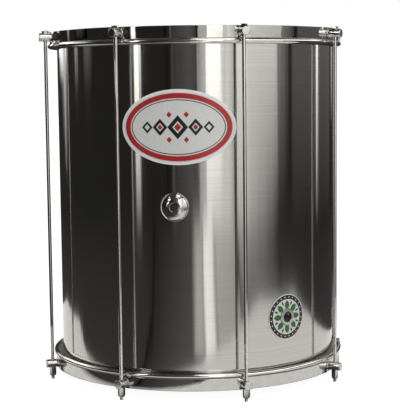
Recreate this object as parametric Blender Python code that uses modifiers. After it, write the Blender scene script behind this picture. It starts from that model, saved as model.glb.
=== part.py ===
"""A surdo, the bass drum of Brazilian street bands, in metres with +Z up.

The drum stands on its eight rod ends at z = 0, with its axis on the Z axis.
Its front, with the large badge midway between two rods, faces -Y.
Angles round the drum are measured from the front, and are positive towards +X.
"""
import math

import bmesh
import bpy
from mathutils import Matrix

# Shell: a rolled sheet with a rounded lip turned inward at each end
shell_outer_radius = 0.254
shell_length = 0.600
shell_wall = 0.0015
shell_lip_radius = 0.0025

# Head film, and the round hoop that grips it in a groove
film_thickness = 0.0005
flesh_wire_radius = 0.0042
shell_to_flesh_hoop = 0.00855
film_collar_depth = 0.0178
film_grip_depth = 0.0022
film_groove_play = 0.0004
film_groove_floor = 0.0005
film_to_band = 0.0007

# Counterhoop: a flat band on edge that presses on the head's hoop
band_height = 0.0209
band_thickness = 0.003

# Studs that stand out of the bands and carry the rods in cross holes
rod_count = 8
first_rod_angle = math.radians(22.5)
rod_standoff = 0.01125
stud_radius = 0.0075
stud_overhang = 0.012
stud_chamfer = 0.0012
spigot_radius = 0.0040
head_seat_depth = 0.0018
nut_seat_depth = 0.0012
seat_side_room = 0.0008

# Tension rods, quarter inch bar with a hexagon head on top
rod_radius = 0.003175
rod_thread_radius = 0.00305
rod_thread_length = 0.098
rod_tip_chamfer = 0.0010
rod_end_below_nut = 0.0055
rod_head_across_flats = 0.0111
rod_head_height = 0.0060
rod_head_bevel = 0.0012
rod_hole_play = 0.0004

# Long hexagon nuts under the lower studs
nut_across_flats = 0.0111
nut_length = 0.0165
nut_taper_length = 0.0060
nut_end_radius = 0.0042
nut_bore_play = 0.0004

# Chrome vent in the middle of the front
front_vent_angle = math.radians(-2.75)
front_vent_height = 0.3055
front_vent_radius = 0.0245
front_vent_hole_radius = 0.0075
front_vent_rise = 0.0070
front_vent_mouth_drop = 0.0018
front_vent_mouth_width = 0.0036
front_vent_rim_rise = 0.0018
front_vent_rim_width = 0.0028
front_vent_groove_rise = 0.0011
front_vent_groove_width = 0.0012

# Smaller vent that also holds the round badge
side_vent_angle = math.radians(43.2)
side_vent_height = 0.1072
side_vent_radius = 0.0152
side_vent_hole_radius = 0.0092
side_vent_rise = 0.0024
side_vent_mouth_drop = 0.0010
side_vent_mouth_width = 0.0012
side_vent_rim_rise = 0.0008
side_vent_slope_width = 0.0026

# Both vents: a barrel through the shell, rolled over a washer inside
vent_barrel_wall = 0.0012
vent_hole_play = 0.0004
vent_washer_width = 0.0048
vent_washer_thickness = 0.0012
vent_roll_width = 0.0014
vent_roll_length = 0.0016

# Badges: thin curved plates that lie on the shell
badge_thickness = 0.0008
front_badge_angle = math.radians(-1.1)
front_badge_height = 0.4396
front_badge_half_width = 0.0965
front_badge_half_depth = 0.0635
side_badge_radius = 0.0393

# Gap left between solids that touch on the real drum
seat_gap = 0.0003

# Sides of the turned shapes
ring_sides = 72
rod_sides = 12
stud_sides = 12
vent_sides = 24
outline_points = 40

merge_distance = 0.00001

# Radii that follow from the sizes above
facet_share = math.cos(math.pi / ring_sides)
flesh_hoop_radius = shell_outer_radius + shell_to_flesh_hoop + flesh_wire_radius
band_inner_radius = flesh_hoop_radius - band_thickness / 2
band_outer_radius = flesh_hoop_radius + band_thickness / 2
rod_circle_radius = band_outer_radius + rod_standoff
stud_hole_radius = rod_radius + rod_hole_play
nut_bore_radius = rod_thread_radius + nut_bore_play
nut_corner_radius = nut_across_flats / math.sqrt(3)
head_corner_radius = rod_head_across_flats / math.sqrt(3)
groove_radius = band_inner_radius - film_to_band - film_thickness

# Heights that follow from the sizes above, from the rod ends upward
nut_bottom = rod_end_below_nut
lower_stud_height = nut_bottom + nut_length + seat_gap + stud_radius - nut_seat_depth
lower_hoop_height = lower_stud_height + band_height / 2 + seat_gap + flesh_wire_radius
shell_bottom = lower_hoop_height - film_collar_depth
shell_top = shell_bottom + shell_length
upper_hoop_height = shell_top - film_collar_depth
upper_stud_height = upper_hoop_height + flesh_wire_radius + seat_gap + band_height / 2
rod_head_bottom = upper_stud_height + stud_radius - head_seat_depth + seat_gap
rod_top = rod_head_bottom + rod_head_height


def clear_scene():
    for old in list(bpy.data.objects):
        bpy.data.objects.remove(old)


def new_collection(name):
    collection = bpy.data.collections.new(name)
    bpy.context.scene.collection.children.link(collection)
    return collection


clear_scene()
parts = new_collection("surdo")
cutters = new_collection("cutters")


def new_material(name, colour, roughness, metallic):
    material = bpy.data.materials.new(name)
    material.use_nodes = True
    surface = material.node_tree.nodes["Principled BSDF"]
    surface.inputs["Base Color"].default_value = (*colour, 1.0)
    surface.inputs["Roughness"].default_value = roughness
    surface.inputs["Metallic"].default_value = metallic
    return material


shell_metal = new_material("shell_metal", (0.62, 0.61, 0.59), 0.22, 1.0)
hoop_chrome = new_material("hoop_chrome", (0.72, 0.72, 0.71), 0.10, 1.0)
flesh_hoop_metal = new_material("flesh_hoop_metal", (0.80, 0.80, 0.79), 0.18, 1.0)
stud_chrome = new_material("stud_chrome", (0.70, 0.70, 0.69), 0.12, 1.0)
rod_steel = new_material("rod_steel", (0.66, 0.66, 0.64), 0.16, 1.0)
nut_steel = new_material("nut_steel", (0.64, 0.64, 0.62), 0.20, 1.0)
vent_chrome = new_material("vent_chrome", (0.72, 0.72, 0.71), 0.08, 1.0)
washer_steel = new_material("washer_steel", (0.55, 0.55, 0.54), 0.30, 1.0)
film_white = new_material("film_white", (0.86, 0.85, 0.81), 0.45, 0.0)
front_badge_print = new_material("front_badge_print", (0.84, 0.84, 0.82), 0.30, 0.0)
side_badge_print = new_material("side_badge_print", (0.14, 0.38, 0.17), 0.35, 0.0)


def place(obj, collection, material=None):
    collection.objects.link(obj)
    if material:
        obj.data.materials.append(material)
    if collection == cutters:
        obj.hide_render = True
        obj.display_type = 'WIRE'
    return obj


def turned(name, profile, sides, collection=parts, material=None, ring=False):
    """Turn a profile of (radius, height) points, outer side top to bottom, about Z."""
    mesh = bpy.data.meshes.new(name)
    points = [(radius, 0.0, height) for radius, height in profile]
    count = len(points)
    edges = [(i, i + 1) for i in range(count - 1)]
    if ring:
        edges.append((count - 1, 0))
    mesh.from_pydata(points, edges, [])
    obj = place(bpy.data.objects.new(name, mesh), collection, material)
    screw = obj.modifiers.new("turn", 'SCREW')
    screw.axis = 'Z'
    screw.angle = math.tau
    screw.steps = sides
    screw.render_steps = sides
    screw.use_merge_vertices = True
    screw.merge_threshold = merge_distance
    screw.use_smooth_shade = True
    return obj


def cylinder(name, radius, bottom, top, sides):
    """A cutter: an upright cylinder or, with six sides, a hexagon bar."""
    mesh = bpy.data.meshes.new(name)
    shape = bmesh.new()
    bmesh.ops.create_cone(
        shape, cap_ends=True, segments=sides, radius1=radius, radius2=radius,
        depth=top - bottom, matrix=Matrix.Translation((0, 0, (top + bottom) / 2)))
    shape.to_mesh(mesh)
    shape.free()
    return place(bpy.data.objects.new(name, mesh), cutters)


def box(name, low, high):
    """A cutter with its sides along the axes, from its low corner to its high one."""
    mesh = bpy.data.meshes.new(name)
    shape = bmesh.new()
    size = [high[i] - low[i] for i in range(3)]
    middle = [(high[i] + low[i]) / 2 for i in range(3)]
    bmesh.ops.create_cube(
        shape, size=1.0, matrix=Matrix.Translation(middle) @ Matrix.Diagonal((*size, 1.0)))
    shape.to_mesh(mesh)
    shape.free()
    return place(bpy.data.objects.new(name, mesh), cutters)


def boolean(target, other, operation):
    modifier = target.modifiers.new(operation.lower(), 'BOOLEAN')
    modifier.operation = operation
    modifier.solver = 'EXACT'
    modifier.object = other
    return target


def finished_mesh(obj):
    """The object's mesh with its modifiers applied, shaded for a turned metal part."""
    bpy.context.view_layer.update()
    graph = bpy.context.evaluated_depsgraph_get()
    mesh = bpy.data.meshes.new_from_object(obj.evaluated_get(graph))
    mesh.name = obj.name
    mesh.shade_smooth()
    mesh.set_sharp_from_angle(angle=math.radians(30))
    return mesh


def outward_rotation(angle):
    """Turns local +Z to point straight out of the shell at an angle from the front."""
    return (math.pi / 2, 0.0, angle)


def at_angle(radius, angle, height):
    return (radius * math.sin(angle), -radius * math.cos(angle), height)


def arc(centre, radius, start, end, steps):
    """Points of an arc in the (radius, height) plane, angles in degrees."""
    points = []
    for i in range(steps + 1):
        angle = math.radians(start + (end - start) * i / steps)
        points.append((centre[0] + radius * math.cos(angle),
                       centre[1] + radius * math.sin(angle)))
    return points


def rod_angles():
    return [first_rod_angle + math.tau * i / rod_count for i in range(rod_count)]


def empty(name, location):
    guide = bpy.data.objects.new(name, None)
    guide.location = location
    guide.empty_display_size = 0.05
    parts.objects.link(guide)
    return guide


drum = empty("drum", (0, 0, 0))
upper_frame = empty("upper_frame", (0, 0, upper_stud_height))
upper_frame.parent = drum
bpy.context.view_layer.update()


def attach(obj, parent=drum):
    obj.parent = parent
    obj.matrix_parent_inverse = parent.matrix_world.inverted()
    return obj


def shell_profile():
    """The sheet's section: each end turns in over an arc of 150 degrees."""
    lip = shell_lip_radius
    centre_radius = shell_outer_radius - lip
    inner = shell_outer_radius - shell_wall
    profile = arc((centre_radius, shell_top - lip), lip, 150, 0, 3)
    profile += arc((centre_radius, shell_bottom + lip), lip, 0, -150, 3)
    profile.append((inner, shell_bottom + 2 * lip))
    profile.append((inner, shell_top - 2 * lip))
    return profile


def vent_hole_cutter(name, hole_radius, angle, height):
    radius = hole_radius + vent_barrel_wall + vent_hole_play
    cutter = cylinder(name, radius, -2 * radius, 2 * radius, vent_sides)
    cutter.location = at_angle(shell_outer_radius, angle, shell_bottom + height)
    cutter.rotation_euler = outward_rotation(angle)
    return cutter


def make_shell():
    shell = turned("shell", shell_profile(), ring_sides, material=shell_metal, ring=True)
    boolean(shell, vent_hole_cutter("front_vent_hole", front_vent_hole_radius,
                                    front_vent_angle, front_vent_height), 'DIFFERENCE')
    boolean(shell, vent_hole_cutter("side_vent_hole", side_vent_hole_radius,
                                    side_vent_angle, side_vent_height), 'DIFFERENCE')
    attach(shell)


def make_head(name, edge, hoop_height, up):
    """A film over one end of the shell, and the hoop that grips it. up is 1 or -1."""
    lip_centre = (shell_outer_radius - shell_lip_radius, edge - up * shell_lip_radius)
    bend = shell_lip_radius + seat_gap
    film_end = film_groove_floor + seat_gap
    path = [(0.0, edge + up * seat_gap)]
    path += [(radius, lip_centre[1] + up * (height - lip_centre[1]))
             for radius, height in arc(lip_centre, bend, 90, 30, 2)]
    path.append((groove_radius, hoop_height + up * (film_end + film_grip_depth)))
    path.append((groove_radius, hoop_height + up * film_end))
    if up < 0:
        path.reverse()
    film = turned(name + "_film", path, ring_sides, material=film_white)
    skin = film.modifiers.new("thickness", 'SOLIDIFY')
    skin.thickness = film_thickness
    skin.offset = 1.0
    skin.use_even_offset = True
    attach(film)

    groove_inner = groove_radius - film_groove_play
    groove_outer = groove_radius + film_thickness + film_groove_play
    start = math.degrees(math.acos((groove_outer - flesh_hoop_radius) / flesh_wire_radius))
    end = math.degrees(math.acos((groove_inner - flesh_hoop_radius) / flesh_wire_radius))
    section = arc((flesh_hoop_radius, 0.0), flesh_wire_radius, start, end - 360, 6)
    section.append((groove_inner, film_groove_floor))
    section.append((groove_outer, film_groove_floor))
    section = [(radius, hoop_height + up * height) for radius, height in section]
    if up < 0:
        section.reverse()
    attach(turned(name + "_flesh_hoop", section, ring_sides,
                  material=flesh_hoop_metal, ring=True))


def make_counterhoop(name, height, parent):
    top = height + band_height / 2
    bottom = height - band_height / 2
    section = [(band_inner_radius, top), (band_outer_radius, top),
               (band_outer_radius, bottom), (band_inner_radius, bottom)]
    band = turned(name, section, ring_sides, material=hoop_chrome, ring=True)
    reach = band_thickness * 2
    for i, angle in enumerate(rod_angles()):
        cutter = cylinder(f"{name}_hole_{i + 1}", spigot_radius + seat_gap,
                          -reach, reach, rod_sides)
        cutter.location = at_angle(flesh_hoop_radius, angle, height)
        cutter.rotation_euler = outward_rotation(angle)
        boolean(band, cutter, 'DIFFERENCE')
    attach(band, parent)


def stud_mesh(name, seat, up):
    """A stud along local +X, with the rod's axis on local Z. seat is its flat's depth."""
    shoulder = -rod_standoff + seat_gap
    inner = shoulder - band_thickness - band_outer_radius * (1 - facet_share)
    profile = [(0.0, stud_overhang),
               (stud_radius - stud_chamfer, stud_overhang),
               (stud_radius, stud_overhang - stud_chamfer),
               (stud_radius, shoulder),
               (spigot_radius, shoulder),
               (spigot_radius, inner),
               (0.0, inner)]
    stud = turned(name, profile, stud_sides, cutters)
    stud.rotation_euler = (0.0, math.pi / 2, 0.0)
    hole = cylinder(name + "_cross_hole", stud_hole_radius,
                    -2 * stud_radius, 2 * stud_radius, rod_sides)
    boolean(stud, hole, 'DIFFERENCE')
    half = max(nut_corner_radius, head_corner_radius) + seat_side_room
    near = stud_radius - seat
    far = 2 * stud_radius
    low, high = (near, far) if up > 0 else (-far, -near)
    flat = box(name + "_seat", (-half, -far, low), (half, far, high))
    boolean(stud, flat, 'DIFFERENCE')
    mesh = finished_mesh(stud)
    mesh.transform(stud.matrix_world)
    return mesh


def make_studs(name, height, seat, up, parent):
    mesh = stud_mesh(name + "_blank", seat, up)
    mesh.materials.append(stud_chrome)
    for i, angle in enumerate(rod_angles()):
        stud = place(bpy.data.objects.new(f"{name}_{i + 1}", mesh), parts)
        stud.location = at_angle(rod_circle_radius, angle, height)
        stud.rotation_euler = (0.0, 0.0, angle - math.pi / 2)
        attach(stud, parent)


def hexagon_bar(name, corner_radius, bottom, top, bevel, end_radius, up):
    """A hexagon bar with one end turned to a cone: the top one, or the bottom one."""
    bar = cylinder(name, corner_radius, bottom, top, 6)
    wide = corner_radius + seat_gap
    cone = [(0.0, top + bevel), (end_radius, top + bevel), (end_radius, top),
            (wide, top - bevel), (wide, bottom - bevel), (0.0, bottom - bevel)]
    if up < 0:
        cone = [(radius, top + bottom - height) for radius, height in reversed(cone)]
    return boolean(bar, turned(name + "_cone", cone, rod_sides, cutters), 'INTERSECT')


def make_rods():
    """Rods with their axis on local Z and their lower end at the local origin."""
    profile = [(0.0, rod_head_bottom + rod_head_height / 2),
               (rod_radius, rod_head_bottom + rod_head_height / 2),
               (rod_radius, rod_thread_length + rod_radius - rod_thread_radius),
               (rod_thread_radius, rod_thread_length),
               (rod_thread_radius, rod_tip_chamfer),
               (rod_thread_radius - rod_tip_chamfer, 0.0),
               (0.0, 0.0)]
    shank = turned("rod_blank", profile, rod_sides, cutters)
    head = hexagon_bar("rod_head_blank", head_corner_radius, rod_head_bottom, rod_top,
                       rod_head_bevel, rod_head_across_flats / 2 - rod_head_bevel, 1)
    mesh = finished_mesh(boolean(shank, head, 'UNION'))
    mesh.materials.append(rod_steel)
    for i, angle in enumerate(rod_angles()):
        rod = place(bpy.data.objects.new(f"tension_rod_{i + 1}", mesh), parts)
        rod.location = at_angle(rod_circle_radius, angle, 0.0)
        rod.rotation_euler = (0.0, 0.0, angle)
        attach(rod, upper_frame)


def make_nuts():
    """Nuts with their axis on local Z and their lower end at the local origin."""
    nut = hexagon_bar("nut_blank", nut_corner_radius, 0.0, nut_length,
                      nut_taper_length, nut_end_radius, -1)
    bore = cylinder("nut_bore", nut_bore_radius, -nut_length, 2 * nut_length, rod_sides)
    mesh = finished_mesh(boolean(nut, bore, 'DIFFERENCE'))
    mesh.materials.append(nut_steel)
    for i, angle in enumerate(rod_angles()):
        nut = place(bpy.data.objects.new(f"tension_nut_{i + 1}", mesh), parts)
        nut.location = at_angle(rod_circle_radius, angle, nut_bottom)
        nut.rotation_euler = (0.0, 0.0, angle)
        attach(nut)


def make_vent(name, face, base_radius, hole_radius, angle, height):
    """A vent whose face lies on a surface at base_radius from the drum's axis.

    face is the profile of the visible ring, from the bore's mouth to the rim.
    """
    barrel = hole_radius + vent_barrel_wall
    inner_facet = (shell_outer_radius - shell_wall) * facet_share
    washer_outer = barrel + seat_gap + vent_washer_width
    washer_face = math.sqrt(inner_facet ** 2 - washer_outer ** 2) - seat_gap - base_radius
    washer_back = washer_face - vent_washer_thickness
    roll_start = washer_back - seat_gap
    roll_end = roll_start - vent_roll_length

    sunk = shell_wall
    ring = face + [(face[-1][0], -sunk), (hole_radius, -sunk)]
    vent = turned(name, ring, vent_sides, material=vent_chrome, ring=True)
    vent.location = at_angle(base_radius, angle, shell_bottom + height)
    vent.rotation_euler = outward_rotation(angle)
    seat = cylinder(name + "_seat", base_radius + seat_gap, shell_bottom, shell_top,
                    2 * ring_sides)
    boolean(vent, seat, 'DIFFERENCE')

    tube = [(hole_radius, face[0][1] / 2),
            (barrel, face[0][1] / 2),
            (barrel, roll_start),
            (barrel + vent_roll_width, roll_start),
            (barrel + vent_roll_width, roll_start - vent_roll_length / 2),
            (barrel, roll_end),
            (hole_radius, roll_end)]
    body = turned(name + "_barrel", tube, vent_sides, cutters, ring=True)
    body.location = vent.location
    body.rotation_euler = vent.rotation_euler
    boolean(vent, body, 'UNION')
    attach(vent)

    washer = [(barrel + seat_gap, washer_face), (washer_outer, washer_face),
              (washer_outer, washer_back), (barrel + seat_gap, washer_back)]
    back = turned(name + "_washer", washer, vent_sides, material=washer_steel, ring=True)
    back.location = vent.location
    back.rotation_euler = vent.rotation_euler
    attach(back)


def front_vent_face():
    """A domed ring that falls to a groove, inside a low rolled rim."""
    crown = front_vent_hole_radius + front_vent_mouth_width
    groove = front_vent_radius - front_vent_rim_width
    foot = groove - front_vent_groove_width
    drop = front_vent_rise - front_vent_groove_rise
    face = [(front_vent_hole_radius, front_vent_rise - front_vent_mouth_drop)]
    face += [(crown + (foot - crown) * across, front_vent_groove_rise + drop * up)
             for across, up in arc((0.0, 0.0), 1.0, 90, 0, 4)]
    face += [(groove, front_vent_groove_rise),
             (groove + front_vent_rim_width / 3, front_vent_rim_rise),
             (groove + front_vent_rim_width * 2 / 3, front_vent_rim_rise),
             (front_vent_radius, front_vent_groove_rise)]
    return face


def side_vent_face():
    """A flat eyelet ring with a rounded mouth and a sloping edge."""
    rim = side_vent_radius
    return [(side_vent_hole_radius, side_vent_rise - side_vent_mouth_drop),
            (side_vent_hole_radius + side_vent_mouth_width, side_vent_rise),
            (rim - side_vent_slope_width, side_vent_rise),
            (rim, side_vent_rim_rise)]


def make_badge(name, outline, height, angle, hole_radius, material):
    """A thin plate curved to the shell, cut to an outline of (across, up) points.

    The cutters reach twice as deep as the plate's edges fall away from its middle.
    """
    inner = shell_outer_radius + seat_gap
    outer = inner + badge_thickness
    middle = shell_bottom + height
    half_width = max(across for across, up in outline)
    fall = inner - math.sqrt(inner ** 2 - half_width ** 2)
    depth = 2 * (fall + badge_thickness)
    reach = max(up for across, up in outline) + depth
    ring = [(inner, middle + reach), (outer, middle + reach),
            (outer, middle - reach), (inner, middle - reach)]
    plate = turned(name, ring, ring_sides, material=material, ring=True)

    curve = bpy.data.curves.new(name + "_outline", 'CURVE')
    curve.dimensions = '2D'
    curve.fill_mode = 'BOTH'
    curve.extrude = depth
    spline = curve.splines.new('POLY')
    spline.points.add(len(outline) - 1)
    for point, (across, up) in zip(spline.points, outline):
        point.co = (across, up, 0.0, 1.0)
    spline.use_cyclic_u = True
    drawn = bpy.data.objects.new(name + "_drawn", curve)
    drawn.location = at_angle(shell_outer_radius, angle, middle)
    drawn.rotation_euler = outward_rotation(angle)
    cutters.objects.link(drawn)
    stamp = place(bpy.data.objects.new(name + "_stamp", finished_mesh(drawn)), cutters)
    stamp.matrix_world = drawn.matrix_world
    bpy.data.objects.remove(drawn)
    shape = bmesh.new()
    shape.from_mesh(stamp.data)
    bmesh.ops.remove_doubles(shape, verts=shape.verts, dist=merge_distance)
    shape.to_mesh(stamp.data)
    shape.free()
    boolean(plate, stamp, 'INTERSECT')

    if hole_radius:
        hole = cylinder(name + "_hole", hole_radius, -depth, depth, vent_sides)
        hole.matrix_world = stamp.matrix_world
        boolean(plate, hole, 'DIFFERENCE')
    attach(plate)


def oval(half_width, half_height):
    points = []
    for i in range(outline_points):
        angle = math.tau * i / outline_points
        points.append((half_width * math.cos(angle), half_height * math.sin(angle)))
    return points


make_shell()
make_head("upper", shell_top, upper_hoop_height, 1)
make_head("lower", shell_bottom, lower_hoop_height, -1)
make_counterhoop("upper_counterhoop", upper_stud_height, upper_frame)
make_counterhoop("lower_counterhoop", lower_stud_height, drum)
make_studs("upper_stud", upper_stud_height, head_seat_depth, 1, upper_frame)
make_studs("lower_stud", lower_stud_height, nut_seat_depth, -1, drum)
make_rods()
make_nuts()
make_vent("front_vent", front_vent_face(), shell_outer_radius,
          front_vent_hole_radius, front_vent_angle, front_vent_height)
make_vent("side_vent", side_vent_face(), shell_outer_radius + seat_gap + badge_thickness,
          side_vent_hole_radius, side_vent_angle, side_vent_height)
make_badge("front_badge", oval(front_badge_half_width, front_badge_half_depth),
           front_badge_height, front_badge_angle, 0.0, front_badge_print)
make_badge("side_badge", oval(side_badge_radius, side_badge_radius), side_vent_height,
           side_vent_angle, side_vent_hole_radius + vent_barrel_wall + vent_hole_play,
           side_badge_print)
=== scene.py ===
"""Looks of the surdo bass drum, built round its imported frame. Metres, +Z up.

The drum's axis is the Z axis and its front faces -Y. Angles round the drum are
measured from the front, and are positive towards +X, to the right in the photo.
"""
import math

import bmesh
import bpy
from mathutils import Matrix, Vector


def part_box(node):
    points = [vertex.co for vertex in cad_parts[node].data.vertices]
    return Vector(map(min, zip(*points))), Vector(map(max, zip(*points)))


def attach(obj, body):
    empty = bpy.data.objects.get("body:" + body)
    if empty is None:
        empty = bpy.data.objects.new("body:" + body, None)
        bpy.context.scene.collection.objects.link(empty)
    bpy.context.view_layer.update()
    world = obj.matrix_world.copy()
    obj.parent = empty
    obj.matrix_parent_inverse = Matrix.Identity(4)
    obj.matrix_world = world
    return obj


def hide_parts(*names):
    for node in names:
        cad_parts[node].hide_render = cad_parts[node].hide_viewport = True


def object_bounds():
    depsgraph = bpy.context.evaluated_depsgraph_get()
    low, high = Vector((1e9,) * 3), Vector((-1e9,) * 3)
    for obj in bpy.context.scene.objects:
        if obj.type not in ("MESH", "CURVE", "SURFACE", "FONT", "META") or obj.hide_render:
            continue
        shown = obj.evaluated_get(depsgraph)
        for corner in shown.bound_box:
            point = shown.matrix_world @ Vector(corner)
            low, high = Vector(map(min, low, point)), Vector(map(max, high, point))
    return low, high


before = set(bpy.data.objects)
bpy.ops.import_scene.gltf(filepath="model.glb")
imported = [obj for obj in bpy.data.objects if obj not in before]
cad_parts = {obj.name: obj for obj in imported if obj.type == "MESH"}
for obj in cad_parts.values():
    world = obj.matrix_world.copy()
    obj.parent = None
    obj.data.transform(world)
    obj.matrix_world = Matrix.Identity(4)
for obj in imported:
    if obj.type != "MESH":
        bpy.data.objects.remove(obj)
cad_low, cad_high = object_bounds()

# Camera, as fitted to the lugs, the rods and the curves of the rims in the photo
camera_azimuth = math.radians(5.5251)
camera_distance = 2.3518
camera_height = 0.5360
camera_pitch = math.radians(-5.891)
camera_roll = math.radians(-0.6374)
image_width = 400
image_height = 420
focal_pixels = 1254.3
principal_x = 196.26
principal_y = 213.93
sensor_size = 36.0
camera_clip = (0.05, 100.0)

# Sheet and wire sizes that the frame's boxes don't give, with sweeps in degrees
shell_wall = 0.0015
lip_radius = 0.0025
lip_sweep = 150
band_thickness = 0.0030
band_edge_radius = 0.0007
band_flare = 0.0011
wire_radius = 0.0042
film_thickness = 0.0005
film_to_band = 0.0007
film_grip = 0.0022
film_lean = 0.00005
film_bend_end = 24
groove_play = 0.0004
groove_floor = 0.0005
seat_gap = 0.0003

# Studs
stud_radius = 0.0075
stud_edge_radius = 0.0014
stud_overhang = 0.0120
spigot_radius = 0.0040
head_seat_depth = 0.0018
nut_seat_depth = 0.0012
seat_margin = 0.0008
stud_hole_radius = 0.0036
weld_radius = 0.0011

# Rods. A flank of the thread takes 1 / thread_flank_slope of its pitch, and its flat crest
# 2 * thread_crest / thread_flank_slope
rod_radius = 0.003175
rod_tip_chamfer = 0.0008
thread_depth = 0.00042
thread_pitch = 0.00127
thread_length = 0.098
thread_run_out = 0.002
thread_flank_slope = 3.2
thread_crest = 0.3
thread_rows_in_pitch = 5
rod_head_height = 0.0060
rod_head_taper = 0.0012
rod_head_edge = 0.0008
rod_head_overlap = 0.001

# Nuts, and the hexagon that they share with the rods' heads
hex_across_flats = 0.0111
hex_corner_play = 0.0002
hex_tip_edge = 0.0006
hex_tip_drop = 0.0005
hex_base_rise = 0.0004
hex_base_inset = 0.0007
nut_bore_radius = 0.00345
nut_taper = 0.0060
nut_end_radius = 0.0042

# Vents
front_vent_angle = math.radians(-2.75)
front_vent_radius = 0.0245
front_vent_hole = 0.0075
front_vent_rise = 0.0070
side_vent_angle = math.radians(43.2)
side_vent_radius = 0.0152
side_vent_hole = 0.0092
side_vent_rise = 0.0024
barrel_wall = 0.0012
hole_play = 0.0004
hole_margin = 0.014
roll_width = 0.0014
roll_length = 0.0016
roll_edge_radii = [0.0, 0.0005, 0.0007, 0.0003]

# Badges: a plate, a field on it and a print on that
badge_thickness = 0.0008
badge_angle = math.radians(-1.1)
badge_half_width = 0.0965
badge_half_depth = 0.0635
disc_radius = 0.0393
plate_below_top = 0.0003
plate_edge_radius = 0.00015
print_thickness = 0.0002
badge_top = seat_gap + badge_thickness
plate_layer = (seat_gap, badge_top - plate_below_top)
field_layer = (badge_top - plate_below_top, badge_top - print_thickness)
print_layer = (badge_top - print_thickness, badge_top)

# Steps round the turned shapes and ovals, and along arcs in their profiles
shell_steps = 360
hoop_steps = 288
vent_steps = 128
small_steps = 64
hexagon_steps = 48
bore_steps = 32
rod_steps = 20
oval_sides = 96
wire_arc_steps = 28
lip_arc_steps = 10
bend_arc_steps = 8
edge_arc_steps = 6
weld_arc_steps = 4

# How far a cutter reaches past what it cuts, and the angles past which edges are sharp
cutter_reach = 0.02
sharp_edge = 35
sharp_on_hexagon = 30
sharp_on_rod = 40
sharp_on_thread = 60
sharp_on_print = 25

# What the frame's boxes give
shell_low, shell_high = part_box("shell")
shell_radius = shell_high.x
shell_bottom = shell_low.z
shell_top = shell_high.z
band_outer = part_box("upper_counterhoop")[1].x
band_inner = band_outer - band_thickness
hoop_radius = (band_outer + band_inner) / 2
rod_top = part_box("tension_rod_1")[1].z


def centre_of(node):
    low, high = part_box(node)
    return (low + high) / 2


def piece_angle(point):
    """Angle round the drum from the front, positive towards +X."""
    return math.atan2(point.x, -point.y)


front_vent_height = centre_of("front_vent").z
side_vent_height = centre_of("side_vent").z
badge_height = centre_of("front_badge").z
nut_low, nut_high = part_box("tension_nut_1")
rod_axes = [centre_of(f"tension_nut_{i + 1}").xy.to_3d() for i in range(8)]
rod_circle = rod_axes[0].length


# Shapes

def arc(centre, radius, start, end, steps):
    """Points of an arc in a profile's plane, angles in degrees."""
    points = []
    for i in range(steps + 1):
        angle = math.radians(start + (end - start) * i / steps)
        points.append((centre[0] + radius * math.cos(angle),
                       centre[1] + radius * math.sin(angle)))
    return points


def filleted(corners, radius, steps=4, closed=True):
    """A polyline with its corners rounded. radius is one value or one per corner."""
    count = len(corners)
    radii = [radius] * count if isinstance(radius, float) else radius
    points = []
    for i, corner in enumerate(corners):
        here = Vector(corner)
        at_end = not closed and i in (0, count - 1)
        if at_end or not radii[i]:
            points.append(tuple(here))
            continue
        back = (Vector(corners[i - 1]) - here).normalized()
        ahead = (Vector(corners[(i + 1) % count]) - here).normalized()
        half = back.angle(ahead) / 2
        reach = radii[i] / math.tan(half)
        centre = here + (back + ahead).normalized() * radii[i] / math.sin(half)
        first = here + back * reach - centre
        last = here + ahead * reach - centre
        turn = first.angle_signed(last)
        for k in range(steps + 1):
            spoke = first.copy()
            spoke.rotate(Matrix.Rotation(-turn * k / steps, 2))
            points.append(tuple(centre + spoke))
    return points


def smooth(mesh, sharp=sharp_edge):
    """Shade a mesh smooth, apart from edges that turn by more than sharp degrees."""
    mesh.shade_smooth()
    mesh.set_sharp_from_angle(angle=math.radians(sharp))


def mesh_of(name, shape):
    """A mesh made from a bmesh, which is freed."""
    mesh = bpy.data.meshes.new(name)
    shape.to_mesh(mesh)
    shape.free()
    return mesh


def new_object(name, data):
    obj = bpy.data.objects.new(name, data)
    bpy.context.scene.collection.objects.link(obj)
    return obj


def new_piece(name, shape, material, sharp=sharp_edge):
    mesh = mesh_of(name, shape)
    smooth(mesh, sharp)
    mesh.materials.append(material)
    return new_object(name, mesh)


def lathe_shape(profile, steps, closed=True):
    shape = bmesh.new()
    verts = [shape.verts.new((radius, 0.0, height)) for radius, height in profile]
    edges = [shape.edges.new(pair) for pair in zip(verts, verts[1:])]
    if closed:
        edges.append(shape.edges.new((verts[-1], verts[0])))
    bmesh.ops.spin(shape, geom=verts + edges, cent=(0, 0, 0), axis=(0, 0, 1),
                   angle=math.tau, steps=steps, use_merge=True)
    bmesh.ops.remove_doubles(shape, verts=shape.verts, dist=1e-7)
    bmesh.ops.recalc_face_normals(shape, faces=shape.faces)
    return shape


def lathe(name, profile, steps, material, closed=True):
    """Turn a profile of (radius, height) points about Z."""
    return new_piece(name, lathe_shape(profile, steps, closed), material)


def even_normals(piece):
    """Keeps flat faces flat beside their rounded edges."""
    modifier = piece.modifiers.new("weighted_normals", 'WEIGHTED_NORMAL')
    modifier.keep_sharp = True
    return piece


def cut(piece, cutters, operation='DIFFERENCE'):
    """Boolean with each cutter, applied, and the cutters removed."""
    for cutter in cutters:
        modifier = piece.modifiers.new("cut", 'BOOLEAN')
        modifier.operation = operation
        modifier.object = cutter
        modifier.solver = 'EXACT'
    bpy.context.view_layer.update()
    graph = bpy.context.evaluated_depsgraph_get()
    mesh = bpy.data.meshes.new_from_object(piece.evaluated_get(graph))
    piece.modifiers.clear()
    piece.data = mesh
    for cutter in cutters:
        bpy.data.objects.remove(cutter)
    return piece


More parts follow.
